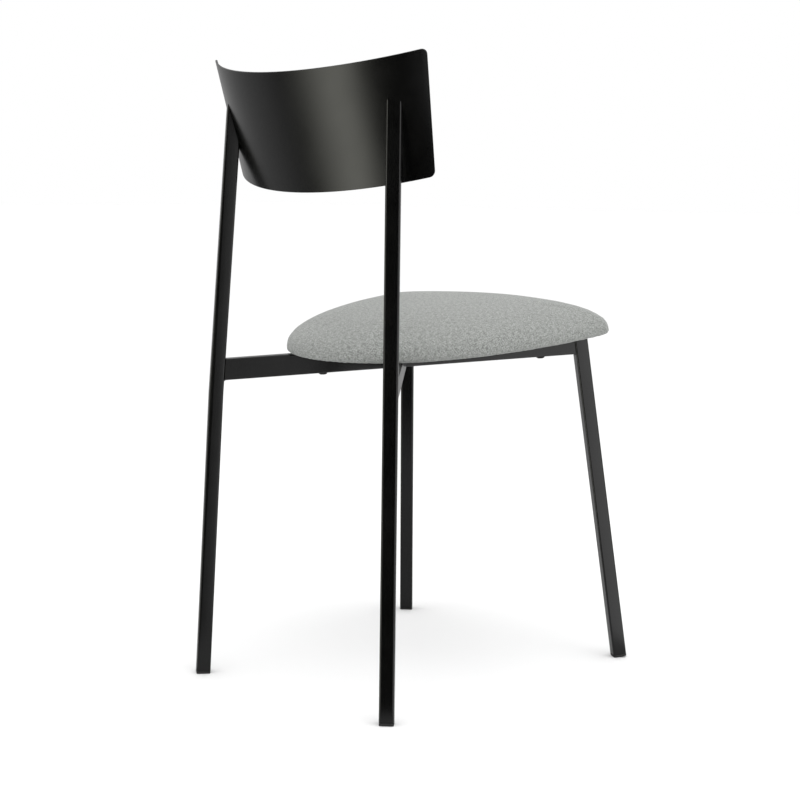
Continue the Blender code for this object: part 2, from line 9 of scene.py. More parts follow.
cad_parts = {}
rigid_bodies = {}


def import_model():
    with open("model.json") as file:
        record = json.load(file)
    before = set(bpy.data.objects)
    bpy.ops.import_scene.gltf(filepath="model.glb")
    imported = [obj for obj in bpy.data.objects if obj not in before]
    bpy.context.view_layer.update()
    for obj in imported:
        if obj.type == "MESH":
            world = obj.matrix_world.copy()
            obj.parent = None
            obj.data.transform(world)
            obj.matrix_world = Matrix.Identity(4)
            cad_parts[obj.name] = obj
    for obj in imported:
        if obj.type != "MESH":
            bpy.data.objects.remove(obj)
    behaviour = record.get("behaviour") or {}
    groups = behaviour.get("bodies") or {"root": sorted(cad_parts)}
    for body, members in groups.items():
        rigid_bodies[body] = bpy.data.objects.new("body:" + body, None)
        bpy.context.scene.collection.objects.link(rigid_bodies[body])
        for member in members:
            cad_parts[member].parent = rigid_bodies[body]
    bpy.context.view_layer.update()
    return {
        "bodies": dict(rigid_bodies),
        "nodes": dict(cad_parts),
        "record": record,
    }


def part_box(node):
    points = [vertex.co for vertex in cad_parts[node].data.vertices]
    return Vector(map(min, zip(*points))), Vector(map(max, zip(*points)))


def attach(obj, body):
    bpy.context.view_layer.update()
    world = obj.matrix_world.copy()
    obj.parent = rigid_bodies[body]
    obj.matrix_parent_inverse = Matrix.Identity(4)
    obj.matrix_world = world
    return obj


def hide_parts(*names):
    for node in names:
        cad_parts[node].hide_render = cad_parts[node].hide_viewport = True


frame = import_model()
nodes = frame["nodes"]
# nothing moves, so everything rides on one body
wholeChair = sorted(frame["bodies"])[0]
print("frame loaded:", len(nodes), "nodes")


# the camera stands behind the chair and to its right

cameraSetup = {
    "place": (-1.4729, 1.6948, 0.6372),
    "lens": 78.11,
    "heading": 2.4225,  # from +Y towards +X, in radians
    "dip": 0.1265,  # how far it looks down
    "lean": 0.0103,  # turn about its own line of sight
    "sensorWidth": 36,
    "farthest": 200,
}


def placeCamera(setup):
    heading, dip, lean = setup["heading"], setup["dip"], setup["lean"]
    ahead = Vector((
        math.sin(heading) * math.cos(dip),
        math.cos(heading) * math.cos(dip),
        -math.sin(dip),
    ))
    level = ahead.cross(Vector((0, 0, 1))).normalized()
    upward = level.cross(ahead)
    right = level * math.cos(lean) + upward * math.sin(lean)
    top = upward * math.cos(lean) - level * math.sin(lean)
    data = bpy.data.cameras.new("studioCamera")
    data.lens = setup["lens"]
    data.sensor_width = setup["sensorWidth"]
    data.clip_end = setup["farthest"]
    camera = bpy.data.objects.new("studioCamera", data)
    bpy.context.scene.collection.objects.link(camera)
    turn = Matrix((right, top, -ahead)).transposed().to_4x4()
    camera.matrix_world = Matrix.Translation(Vector(setup["place"])) @ turn
    bpy.context.scene.camera = camera


placeCamera(cameraSetup)
print("camera placed")


# a socket of a shader tree, with sums written as sums

class Wire:
    def __init__(self, tree, socket=None):
        self.tree = tree
        self.socket = socket

    # adds a node; an input is a number, a colour or another wire
    def add(self, kind, settings=None, inputs=None, output=0):
        node = self.tree.nodes.new("ShaderNode" + kind)
        for setting, value in (settings or {}).items():
            if setting == "stops":
                self.setStops(node.color_ramp, value)
            else:
                setattr(node, setting, value)
        for key, value in (inputs or {}).items():
            if isinstance(value, Wire):
                self.tree.links.new(value.socket, node.inputs[key])
            else:
                node.inputs[key].default_value = value
        return Wire(self.tree, node.outputs[output] if node.outputs else None)

    def setStops(self, ramp, stops):
        while len(ramp.elements) > 1:
            ramp.elements.remove(ramp.elements[-1])
        for index, (place, colour) in enumerate(stops):
            element = ramp.elements[0] if index == 0 else ramp.elements.new(place)
            element.position = place
            element.color = tuple(colour) + (1,) if len(colour) == 3 else colour

    def maths(self, operation, *values, clamp=False):
        settings = {"operation": operation, "use_clamp": clamp}
        return self.add("Math", settings, dict(enumerate(values)))

    def sibling(self, index):
        # another output of the node that this socket belongs to
        return Wire(self.tree, self.socket.node.outputs[index])

    def __add__(self, other):
        return self.maths("ADD", self, other)

    def __radd__(self, other):
        return self.maths("ADD", other, self)

    def __sub__(self, other):
        return self.maths("SUBTRACT", self, other)

    def __rsub__(self, other):
        return self.maths("SUBTRACT", other, self)

    def __mul__(self, other):
        return self.maths("MULTIPLY", self, other)

    def __truediv__(self, other):
        return self.maths("DIVIDE", self, other)

    def between(self, low, high):
        inputs = {"Value": self, "From Min": low, "From Max": high}
        return self.add("MapRange", {"clamp": True}, inputs)

    def blend(self, first, second):
        settings = {"data_type": "RGBA", "blend_type": "MIX"}
        return self.add("Mix", settings, {0: self, 6: first, 7: second}, output=2)

    def grain(self, place, scale, detail, rough=0.5, flat=False):
        settings = {"noise_dimensions": "2D" if flat else "3D"}
        inputs = {"Vector": place, "Scale": scale, "Detail": detail, "Roughness": rough}
        return self.add("TexNoise", settings, inputs)

    def turned(self, place, scale, turn=(0, 0, 0), shift=(0, 0, 0)):
        inputs = {"Vector": place, "Scale": scale, "Rotation": turn, "Location": shift}
        return self.add("Mapping", None, inputs)

    def bump(self, height, depth, strength):
        inputs = {"Height": height, "Distance": depth, "Strength": strength}
        return self.add("Bump", None, inputs)


def shaded(colour, share):
    return tuple(value * share for value in colour[:3]) + (1,)


def startFinish(name):
    finish = bpy.data.materials.new(name)
    finish.use_nodes = True
    tree = finish.node_tree
    tree.nodes.clear()
    wire = Wire(tree)
    place = wire.add("TexCoord", None, None, output="Object")
    return finish, wire, place


def endFinish(wire, inputs):
    surface = wire.add("BsdfPrincipled", None, inputs)
    wire.add("OutputMaterial", None, {"Surface": surface})


# powder coat of the frame and the backrest

powderCoat = {
    "colour": (0.0009, 0.0009, 0.0009, 1),
    "glossLow": 0.22,
    "glossHigh": 0.27,
    "darker": 0.8,  # share of the colour in its darker clouds
    "cloudSize": 22,  # sizes are waves per metre
    "peelSize": 1100,
    "peelDepth": 0.00002,
    "speckSize": 3600,
    "speckDull": 0.04,
}


def makePowderCoat(look):
    finish, wire, place = startFinish("powderCoatBlack")
    cloudy = wire.grain(place, look["cloudSize"], 3)
    peel = wire.grain(place, look["peelSize"], 1)
    specks = wire.grain(place, look["speckSize"], 1).between(0.60, 0.72)
    glossRange = look["glossHigh"] - look["glossLow"]
    roughness = cloudy.between(0.3, 0.7) * glossRange + look["glossLow"]
    darker = shaded(look["colour"], look["darker"])
    endFinish(wire, {
        "Base Color": cloudy.between(0.35, 0.65).blend(darker, look["colour"]),
        "Roughness": roughness + specks * look["speckDull"],
        "Normal": wire.bump(peel + specks * 0.15, look["peelDepth"], 0.5),
        "IOR": 1.5,
    })
    return finish


# grey flat weave of the seat

seatCloth = {
    "pale": (0.368, 0.381, 0.363, 1),
    "dark": (0.100, 0.104, 0.099, 1),
    "yarn": 0.0015,  # from one yarn to the next
    "streak": 4.0,  # length of a colour streak, in yarns
    "driftSize": 14,
    "fuzzSize": 2600,
    "weaveDepth": 0.00022,
    "sheen": 0.22,
}


def makeSeatCloth(look):
    finish, wire, place = startFinish("greyMelangeWeave")
    spread = wire.add("UVMap", {"uv_map": "clothLay"})  # metres along the cloth
    yarns = 1 / look["yarn"]
    onYarns = wire.add("VectorMath", {"operation": "SCALE"}, {0: spread, "Scale": yarns})
    parts = wire.add("SeparateXYZ", None, {0: onYarns})
    across, along = parts, parts.sibling(1)
    # which yarn lies on top: warp and weft change places at every crossing
    parity = wire.maths("PINGPONG", wire.maths("FLOOR", across) + wire.maths("FLOOR", along), 1)
    nearWarp = wire.maths("ABSOLUTE", wire.maths("FRACT", across) - 0.5) * 2
    nearWeft = wire.maths("ABSOLUTE", wire.maths("FRACT", along) - 0.5) * 2
    warpTop = (1 - nearWarp * nearWarp) * (1 - nearWeft * nearWeft * 0.55)
    weftTop = (1 - nearWeft * nearWeft) * (1 - nearWarp * nearWarp * 0.55)
    weave = warpTop * (1 - parity) + weftTop * parity
    # each yarn is pale and dark by turns along its length
    squeeze = 1 / look["streak"]
    warpPlace = wire.turned(onYarns, (1.0, squeeze, 1))
    warpTone = wire.grain(warpPlace, 1.0, 3, 0.65, flat=True)
    weftPlace = wire.turned(onYarns, (squeeze, 1.0, 1), shift=(31, 17, 0))
    weftTone = wire.grain(weftPlace, 1.0, 3, 0.65, flat=True)
    tone = warpTone * (1 - parity) + weftTone * parity
    drift = wire.grain(place, look["driftSize"], 2)
    fuzz = wire.grain(place, look["fuzzSize"], 2)
    # the weave's yarn profile also goes into the colour: yarn crowns paler and the gaps between
    # yarns darker, which is painted shade
    shade = tone.between(0.37, 0.63) * 0.74 + weave * 0.16 + drift * 0.10
    shade = wire.maths("MULTIPLY", shade, 1.0, clamp=True)
    endFinish(wire, {
        "Base Color": shade.blend(look["dark"], look["pale"]),
        "Roughness": 0.86 + fuzz * 0.1,
        "Normal": wire.bump(weave + fuzz * 0.35 + tone * 0.25, look["weaveDepth"], 0.8),
        "Sheen Weight": look["sheen"],
        "Sheen Roughness": 0.45,
        "Specular IOR Level": 0.25,
    })
    return finish


# non-woven felt of the dust cover, pressed together in small dots

dustFelt = {
    "dark": (0.008, 0.008, 0.009, 1),
    "pale": (0.034, 0.034, 0.036, 1),
    "fibreSize": 1500,
    "dotSize": 420,
    "dotSpread": 0.15,
    "depth": 0.0003,
}


def makeDustFelt(look):
    finish, wire, place = startFinish("dustFeltBlack")
    oneWay = wire.turned(place, (1, 0.25, 1), (0, 0, 0.6))
    otherWay = wire.turned(place, (0.25, 1, 1), (0, 0, -0.4))
    fibre = wire.grain(oneWay, look["fibreSize"], 3, 0.65)
    crossed = wire.grain(otherWay, look["fibreSize"], 3, 0.65)
    inputs = {"Vector": place, "Scale": look["dotSize"], "Randomness": look["dotSpread"]}
    pressed = wire.add("TexVoronoi", None, inputs).between(0.12, 0.3)
    mat = (fibre + crossed) * 0.5
    endFinish(wire, {
        "Base Color": mat.between(0.35, 0.65).blend(look["dark"], look["pale"]),
        "Roughness": 0.82 + mat * 0.15,
        "Normal": wire.bump(mat * 0.6 + pressed * 0.4, look["depth"], 0.7),
        "Specular IOR Level": 0.3,
    })
    return finish


# moulded plastic of the feet and the leg caps

endPlastic = {
    "colour": (0.012, 0.012, 0.012, 1),
    "scuffed": (0.022, 0.022, 0.022, 1),
    "sparkSize": 2400,
    "scuffSize": 260,
    "dull": 0.44,
    "depth": 0.00008,
}


def makeEndPlastic(look):
    finish, wire, place = startFinish("endPlasticBlack")
    sparks = wire.grain(place, look["sparkSize"], 2)
    worn = wire.turned(place, (1, 1, 0.2))
    scuffs = wire.grain(worn, look["scuffSize"], 3).between(0.52, 0.7)
    endFinish(wire, {
        "Base Color": scuffs.blend(look["colour"], look["scuffed"]),
        "Roughness": look["dull"] + scuffs * 0.14 + sparks * 0.06,
        "Normal": wire.bump(sparks, look["depth"], 0.5),
    })
    return finish


# black oxide of the bolts

boltOxide = {
    "dark": (0.012, 0.012, 0.013, 1),
    "pale": (0.035, 0.034, 0.034, 1),
    "mottleSize": 900,
    "ringSize": 2600,
    "dull": 0.30,
    "metal": 0.6,
    "depth": 0.00003,
}


def makeBoltBlack(look):
    finish, wire, place = startFinish("boltBlackOxide")
    mottled = wire.grain(place, look["mottleSize"], 3)
    rings = wire.grain(wire.turned(place, (1, 1, 9)), look["ringSize"], 1)
    endFinish(wire, {
        "Base Color": mottled.between(0.3, 0.7).blend(look["dark"], look["pale"]),
        "Roughness": look["dull"] + mottled * 0.18,
        "Metallic": look["metal"],
        "Normal": wire.bump(rings, look["depth"], 0.5),
    })
    return finish


# zinc plating of the tee nuts and the staples

nutZinc = {
    "name": "nutZinc",
    "colour": (0.55, 0.55, 0.53, 1),
    "paler": 1.2,
    "cloudSize": 320,
    "brushSize": 1800,
    "dull": 0.3,
    "depth": 0.00004,
}
stapleZinc = dict(nutZinc, name="stapleWire", colour=(0.50, 0.50, 0.50, 1), dull=0.28)


def makeZinc(look):
    finish, wire, place = startFinish(look["name"])
    cloudy = wire.grain(place, look["cloudSize"], 3)
    brushed = wire.grain(wire.turned(place, (1, 1, 12)), look["brushSize"], 2)
    pale = shaded(look["colour"], look["paler"])
    endFinish(wire, {
        "Base Color": cloudy.between(0.3, 0.7).blend(look["colour"], pale),
        "Roughness": look["dull"] + cloudy * 0.2,
        "Metallic": 1.0,
        "Normal": wire.bump(brushed, look["depth"], 0.5),
    })
    return finish


# plywood of the seat board

birch = {
    "dark": (0.44, 0.29, 0.16, 1),
    "pale": (0.70, 0.52, 0.33, 1),
    "layerSize": 210.0,
    "layerWaver": 0.4,
    "fibreSize": 700,
    "figureSize": 40,
    "dull": 0.62,
    "depth": 0.0001,
}


def makePlywood(look):
    finish, wire, place = startFinish("birchPlywood")
    bands = {"wave_type": "BANDS", "bands_direction": "Z"}
    inputs = {"Vector": place, "Scale": look["layerSize"], "Distortion": look["layerWaver"]}
    layers = wire.add("TexWave", bands, inputs)
    fibres = wire.grain(wire.turned(place, (1, 0.06, 1)), look["fibreSize"], 4, 0.6)
    figure = wire.grain(wire.turned(place, (1, 0.12, 1)), look["figureSize"], 3)
    tone = fibres * 0.45 + figure * 0.3 + layers * 0.25
    endFinish(wire, {
        "Base Color": tone.between(0.3, 0.7).blend(look["dark"], look["pale"]),
        "Roughness": look["dull"] + fibres * 0.2,
        "Normal": wire.bump(fibres, look["depth"], 0.5),
    })
    return finish


# foam of the seat

openFoam = {
    "dark": (0.62, 0.55, 0.36, 1),
    "pale": (0.84, 0.78, 0.58, 1),
    "cellSize": 900,
    "dull": 0.85,
    "depth": 0.0004,
}


def makeFoam(look):
    finish, wire, place = startFinish("seatFoam")
    cells = wire.add("TexVoronoi", None, {"Vector": place, "Scale": look["cellSize"]})
    # the colour is darker in the middle of each cell, where the bump dips: painted shade in the
    # pores
    endFinish(wire, {
        "Base Color": cells.between(0.1, 0.7).blend(look["dark"], look["pale"]),
        "Roughness": look["dull"] + cells * 0.1,
        "Normal": wire.bump(cells, look["depth"], 0.6),
    })
    return finish


# one finish for each slot; what the scene doesn't remake is seen in its slot's finish

coat = makePowderCoat(powderCoat)
cloth = makeSeatCloth(seatCloth)
felt = makeDustFelt(dustFelt)
plastic = makeEndPlastic(endPlastic)
boltBlack = makeBoltBlack(boltOxide)
zinc = makeZinc(nutZinc)
stapleWire = makeZinc(stapleZinc)
plywood = makePlywood(birch)
foam = makeFoam(openFoam)
finishes = {
    "powder_coat": coat,
    "seat_fabric": cloth,
    "foam": foam,
    "plywood": plywood,
    "dust_felt": felt,
    "end_plastic": plastic,
    "black_steel": boltBlack,
    "zinc_steel": zinc,
}
for row in frame["record"]["subparts"]:
    mesh = nodes[row["node"]].data
    mesh.materials.clear()
    mesh.materials.append(finishes[row["material_slot"]])
print("finishes made")


# what every piece needs

def addPiece(name, shape, finish, replaced=()):
    mesh = bpy.data.meshes.new(name)
    shape.to_mesh(mesh)
    shape.free()
    mesh.materials.append(finish)
    piece = bpy.data.objects.new(name, mesh)
    bpy.context.scene.collection.objects.link(piece)
    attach(piece, wholeChair)
    if replaced:
        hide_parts(*replaced)
    return piece


def shadeSmooth(piece):
    faces = piece.data.polygons
    faces.foreach_set("use_smooth", [True] * len(faces))


def mergedCopy(nodeName):
    # the node's own shape, with its points joined
    shape = bmesh.new()
    shape.from_mesh(nodes[nodeName].data)
    bmesh.ops.remove_doubles(shape, verts=shape.verts, dist=0.000005)
    bmesh.ops.recalc_face_normals(shape, faces=shape.faces)
    return shape


def flatCopy(nodeName):
    # the same, with its flat faces made whole again
    shape = mergedCopy(nodeName)
    flat = math.radians(0.3)
    bmesh.ops.dissolve_limit(shape, angle_limit=flat, verts=shape.verts, edges=shape.edges)
    return shape


def softenEdges(piece, width, segments, angle):
    bevel = piece.modifiers.new("softEdges", "BEVEL")
    bevel.width = width
    bevel.segments = segments
    bevel.limit_method = "ANGLE"
    bevel.angle_limit = math.radians(angle)
    bevel.harden_normals = False
    shadeSmooth(piece)
    weighted = piece.modifiers.new("evenShading", "WEIGHTED_NORMAL")
    weighted.keep_sharp = True
    weighted.weight = 80


# frame tubes

tubes = {
    "edge": 0.00025,  # rounding of the sawn ends
    "edgeSteps": 2,
    "edgeAngle": 50,  # degrees between faces that get it
}


def makeTubes(values):
    for nodeName in sorted(nodes):
        if nodeName.startswith(("leg_front", "leg_rear", "cross_rail")):
            shape = flatCopy(nodeName)
            piece = addPiece(nodeName + "_coated", shape, coat, [nodeName])
            softenEdges(piece, values["edge"], values["edgeSteps"], values["edgeAngle"])


makeTubes(tubes)
print("tubes made")


# backrest

backrest = {
    "edge": 0.0008,  # rounding of the sheet's cut edge
    "edgeSteps": 3,
    "edgeAngle": 45,
}


def makeBackrest(values):
    shape = mergedCopy("backrest_sheet")
    joined = {"angle_face_threshold": 0.3, "angle_shape_threshold": 0.8}
    bmesh.ops.join_triangles(shape, faces=shape.faces, **joined)
    piece = addPiece("backrest_rolled", shape, coat, ["backrest_sheet"])
    softenEdges(piece, values["edge"], values["edgeSteps"], values["edgeAngle"])


makeBackrest(backrest)
print("backrest made")


# welds under the rails' ends

welds = {
    "radius": 0.0013,
    "ripple": 0.16,  # share of the radius
    "step": 0.0005,
    "ripplesPer": 3,  # steps from one ripple to the next
    "short": 0.0008,  # kept clear of the tube's corners
    "lift": 0.0003,  # into the corner between rail and leg
    "sides": 10,
    "startShare": 0.5,  # radius at either end
    "taper": 0.25,  # growth of that share, per step
    "shortestEdge": 0.008,  # of a rail's end
}


def weldBead(shape, start, end, values):
    run = end - start
    along = run.normalized()
    steps = int(run.length / values["step"])
    turn = along.to_track_quat("Z", "Y").to_matrix().to_4x4()
    radius = values["radius"] * values["startShare"]
    place = Matrix.Translation(start) @ turn
    made = bmesh.ops.create_circle(
        shape, cap_ends=True, segments=values["sides"], radius=radius, matrix=place)
    face = made["verts"][0].link_faces[0]
    for step in range(1, steps + 1):
        wave = 1 + values["ripple"] * math.cos(2 * math.pi * step / values["ripplesPer"])
        ends = min(1, values["startShare"] + min(step, steps - step) * values["taper"])
        grown = bmesh.ops.extrude_face_region(shape, geom=[face])
        face = [item for item in grown["geom"] if isinstance(item, bmesh.types.BMFace)][0]
        bmesh.ops.translate(shape, verts=face.verts, vec=along * values["step"])
        size = values["radius"] * wave * ends / radius
        space = Matrix.Translation(-face.calc_center_median())
        bmesh.ops.scale(shape, vec=(size, size, size), space=space, verts=face.verts)
        radius *= size


def makeWelds(values):
    shape = bmesh.new()
    count = 0
    for railName in ("cross_rail_long", "cross_rail_half_front", "cross_rail_half_rear"):
        rail = flatCopy(railName)
        corners = [vertex.co for vertex in rail.verts]
        first = min(corners, key=lambda corner: corner.y)
        last = max(corners, key=lambda corner: corner.y)
        along = Vector((last.x - first.x, last.y - first.y, 0)).normalized()
        # a rail's wall has an edge inside the tube too, so the lowest one at each end counts
        lowest = {}
        for edge in rail.edges:
            normals = [face.normal for face in edge.link_faces]
            ends = [normal for normal in normals if abs(normal.dot(along)) > 0.6]
            under = [normal for normal in normals if normal.z < -0.9]
            if ends and under and edge.calc_length() > values["shortestEdge"]:
                side = ends[0].dot(along) > 0
                height = edge.verts[0].co.z
                if side not in lowest or height < lowest[side][0]:
                    lowest[side] = (height, edge)
        for height, edge in lowest.values():
            start, end = [vertex.co for vertex in edge.verts]
            back = (end - start).normalized() * values["short"]
            lift = Vector((0, 0, values["lift"]))
            weldBead(shape, start + back + lift, end - back + lift, values)
            count += 1
        rail.free()
    bmesh.ops.recalc_face_normals(shape, faces=shape.faces)
    shadeSmooth(addPiece("rail_weld_beads", shape, coat))
    print("weld beads:", count)


makeWelds(welds)


# feet, leg caps and bolts

fittings = {
    "mouldedEdge": 0.0005,
    "mouldedSteps": 3,
    "boltEdge": 0.0002,
    "boltSteps": 2,
    "edgeAngle": 35,
}


def makeFittings(values):
    for nodeName in sorted(nodes):
        if nodeName.startswith(("glide", "leg_cap")):
            name, finish, slotName = nodeName + "_moulded", plastic, "end_plastic"
            edge, steps = values["mouldedEdge"], values["mouldedSteps"]
        elif nodeName.startswith("seat_bolt"):
            name, finish, slotName = nodeName + "_head", boltBlack, "black_steel"
            edge, steps = values["boltEdge"], values["boltSteps"]
        else:
            continue
        piece = addPiece(name, flatCopy(nodeName), finish, [nodeName])
        softenEdges(piece, edge, steps, values["edgeAngle"])


makeFittings(fittings)
print("fittings made")


# seat pad

seatPad = {
    "slope": 0.0829,  # rise towards the front
    "middleShift": 0.0081,  # the pad's middle, behind its box's middle
    "halfWidth": 0.1955,
    "leastRadius": 0.12,  # the outline is farther than this from the pad's middle
    "startInset": 0.0002,  # the form the filling swells from, a little smaller than the pad
    "startLower": 0.0030,
    "voxel": 0.005,
    "pressure": 4,
    "clothSteps": 6,  # per frame
    "clothFrames": 20,
    "heldHeight": 0.0045,  # above the underside, where the cloth is fixed to the board
    "cap": 0.0030,  # how far the cover may swell
    "shapeHold": 0.75,  # how firmly the foam under the cloth keeps the pad's form
    "bellyHeight": 0.0076,  # of the widest line, above the underside
    "boardShare": 0.915,  # of the outline, as far as the board carries the filling
    "hangStart": 0.04,  # share of the outline over which the filling comes to hang
    "hang": 0.0015,
    "fuller": 0.014,
    "gathered": (-0.75, -2.39, math.pi / 2),  # the front corners and the rear tip
    "gatherSpread": 0.42,  # radians to either side
    "pleatHeight": 0.004,  # above the underside
    "pleatInset": 0.03,  # share of the outline
    "pleatRise": 0.0007,
    "pleatGap": 0.009,  # from pleat to pleat round a corner
    "turnIn": 0.87,  # share of the outline where the turned-in cloth ends
    "openingHeight": 0.006,
    "layRadius": 0.21,  # of the crown that the cloth is laid over
    "crownRise": 0.0431,
    "fullness": 2.74,  # a higher power gives a flatter top and a tighter edge
    "underHeight": 0.0012,
    "wall": 0.0012,
}


def padShape(values):
    # the pad's plan outline and heights, read from the cover's own node
    points = np.array([vertex.co[:] for vertex in nodes["seat_cover"].data.vertices])
    low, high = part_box("seat_cover")
    middle = np.array([0.0, (low.y + high.y) / 2 + values["middleShift"]])
    across = points[:, :2] - middle
    angles = np.arctan2(across[:, 1], across[:, 0])
    radii = np.hypot(across[:, 0], across[:, 1])
    heights = points[:, 2] + values["slope"] * points[:, 1]
    bins = {}
    for angle, radius in zip(np.round(angles, 3), radii):
        bins[angle] = max(radius, bins.get(angle, 0))
    least = values["leastRadius"]
    steady = sorted((angle, radius) for angle, radius in bins.items() if radius > least)
    return {
        "middle": middle,
        "angles": np.array([angle for angle, radius in steady]),
        "radii": np.array([radius for angle, radius in steady]),
        "base": float(heights.min()),
        "top": float(heights.max()),
    }


def outlineRadius(facts, angle):
    return np.interp(angle, facts["angles"], facts["radii"], period=2 * math.pi)


def padPlace(point, values, facts):
    # a point's way from the pad's middle in plan, and its height above the underside
    x, y = point.x - facts["middle"][0], point.y - facts["middle"][1]
    return x, y, point.z + values["slope"] * point.y - facts["base"]


padFacts = padShape(seatPad)
print("pad outline samples:", len(padFacts["angles"]))


def padForm(values, facts):
    # a closed crowned form, which may be a little smaller than the finished pad
    points = bmesh.new()
    scale = 1 - values["startInset"] / values["halfWidth"]
    lower = 1 - values["startLower"] / (facts["top"] - facts["base"])
    for vertex in nodes["seat_cover"].data.vertices:
        x, y, height = padPlace(vertex.co, values, facts)
        planX = facts["middle"][0] + x * scale
        planY = facts["middle"][1] + y * scale
        z = facts["base"] + height * lower - values["slope"] * planY
        points.verts.new((planX, planY, z))
    bmesh.ops.remove_doubles(points, verts=points.verts, dist=0.00002)
    hull = bmesh.ops.convex_hull(points, input=points.verts)
    inside = [item for item in hull["geom_interior"] if isinstance(item, bmesh.types.BMVert)]
    bmesh.ops.delete(points, geom=inside, context="VERTS")
    bmesh.ops.recalc_face_normals(points, faces=points.faces)
    return points


def appliedMesh(piece):
    # the piece's mesh with its modifiers made real
    depsgraph = bpy.context.evaluated_depsgraph_get()
    evaluated = piece.evaluated_get(depsgraph)
    mesh = bpy.data.meshes.new_from_object(evaluated, depsgraph=depsgraph)
    piece.modifiers.clear()
    return mesh


def meshPoints(mesh):
    flat = np.zeros(len(mesh.vertices) * 3)
    mesh.vertices.foreach_get("co", flat)
    return flat.reshape(-1, 3)


def swell(piece, values, facts):
    # air pressure fills the cover; the underside stays flat on its board
    start = meshPoints(piece.data)
    heights = start[:, 2] + values["slope"] * start[:, 1] - facts["base"]
    held = piece.vertex_groups.new(name="held")
    for index in np.nonzero(heights < values["heldHeight"])[0]:
        held.add([int(index)], 1.0, "REPLACE")
    modifier = piece.modifiers.new("filling", "CLOTH")
    modifier.settings.use_pressure = True
    modifier.settings.uniform_pressure_force = values["pressure"]
    modifier.settings.effector_weights.gravity = 0
    modifier.settings.vertex_group_mass = "held"
    modifier.settings.quality = values["clothSteps"]
    for frameNumber in range(values["clothFrames"]):
        bpy.context.scene.frame_set(frameNumber + 1)
    swollen = appliedMesh(piece)
    bpy.context.scene.frame_set(1)
    move = meshPoints(swollen) - start
    far = np.linalg.norm(move, axis=1)
    print("swelled by up to", round(float(far.max()) * 1000, 2), "mm")
    # a smooth limit, so that no dent shows where the cap is reached
    limited = values["cap"] * np.tanh(far / values["cap"])
    move *= (limited / np.maximum(far, 1e-9))[:, None]
    piece.data.vertices.foreach_set("co", (start + move).ravel())
    piece.vertex_groups.clear()
    bpy.data.meshes.remove(swollen)


def holdForm(mesh, values, facts):
    # the foam keeps the pad's outline and crown, and the cloth keeps a soft unevenness
    form = padForm(dict(values, startInset=0, startLower=0), facts)
    surface = BVHTree.FromBMesh(form)
    form.free()
    for vertex in mesh.vertices:
        nearest, normal, face, distance = surface.find_nearest(vertex.co)
        vertex.co += (nearest - vertex.co) * values["shapeHold"]


def roundUnder(mesh, values, facts):
    # past the board's edge the filling hangs a little lower and fuller
    for vertex in mesh.vertices:
        x, y, height = padPlace(vertex.co, values, facts)
        low = 1 - height / values["bellyHeight"]
        share = math.hypot(x, y) / outlineRadius(facts, math.atan2(y, x))
        if low <= 0 or share < values["boardShare"]:
            continue
        ring = min(1, (share - values["boardShare"]) / values["hangStart"])
        ring = ring * ring * (3 - 2 * ring)
        low = min(1, low)
        fuller = values["fuller"] * ring * low
        vertex.co.x += x * fuller
        vertex.co.y += y * fuller
        vertex.co.z -= values["hang"] * ring * low ** 0.7


def pleat(mesh, values, facts):
    # where the cloth turns under at a corner it gathers into small pleats
    for vertex in mesh.vertices:
        x, y, height = padPlace(vertex.co, values, facts)
        if height > values["pleatHeight"]:
            continue
        angle = math.atan2(y, x)
        outline = outlineRadius(facts, angle)
        turns = [math.remainder(angle - corner, 2 * math.pi) for corner in values["gathered"]]
        away = min(abs(turn) for turn in turns)
        near = max(0, 1 - (away / values["gatherSpread"]) ** 2)
        inset = max(0, (1 - math.hypot(x, y) / outline) / values["pleatInset"])
        under = max(0, 1 - height / values["pleatHeight"]) * min(1, inset)
        wave = 0.5 + 0.5 * math.cos(angle * outline / values["pleatGap"] * 2 * math.pi)
        vertex.co.z += values["pleatRise"] * wave * near * under


def clothLay(mesh, values, facts):
    # metres along the cloth from the pad's middle, over the crown and down the sides
    points = meshPoints(mesh)
    across = points[:, :2] - facts["middle"]
    heights = points[:, 2] + values["slope"] * points[:, 1]
    sweep = np.linspace(math.pi / 2, 0, 400)
    radius = values["layRadius"] * np.cos(sweep) ** (2 / values["fullness"])
    drop = values["crownRise"] * (1 - np.sin(sweep))
    steps = np.hypot(np.diff(radius), np.diff(drop)) - np.abs(np.diff(radius))
    extra = np.concatenate([[0], np.cumsum(steps)])
    below = facts["top"] - heights
    spare = np.interp(below, drop, extra) + np.maximum(0, below - drop[-1])
    reach = np.maximum(np.hypot(across[:, 0], across[:, 1]), 1e-9)
    # the turned-in cloth runs back towards the middle
    under = heights - facts["base"] < values["underHeight"]
    outline = outlineRadius(facts, np.arctan2(across[:, 1], across[:, 0]))
    spare = np.where(under, spare + 2 * (outline - reach), spare)
    laid = across * (1 + spare / reach)[:, None]
    layer = mesh.uv_layers.new(name="clothLay")
    corners = np.zeros(len(mesh.loops), dtype=np.int32)
    mesh.loops.foreach_get("vertex_index", corners)
    layer.data.foreach_set("uv", laid[corners].ravel())


def settle(piece):
    # makes the piece's modifiers part of its mesh
    old = piece.data
    piece.data = appliedMesh(piece)
    bpy.data.meshes.remove(old)


def openUnder(mesh, values, facts):
    # the cloth is open under the board
    shape = bmesh.new()
    shape.from_mesh(mesh)
    opening = []
    for face in shape.faces:
        x, y, height = padPlace(face.calc_center_median(), values, facts)
        share = math.hypot(x, y) / outlineRadius(facts, math.atan2(y, x))
        if share < values["turnIn"] and height < values["openingHeight"]:
            opening.append(face)
    bmesh.ops.delete(shape, geom=opening, context="FACES")
    rim = [vertex for vertex in shape.verts if vertex.is_boundary]
    bmesh.ops.smooth_vert(
        shape, verts=rim, factor=0.5, use_axis_x=True, use_axis_y=True, use_axis_z=False)
    shape.to_mesh(mesh)
    shape.free()


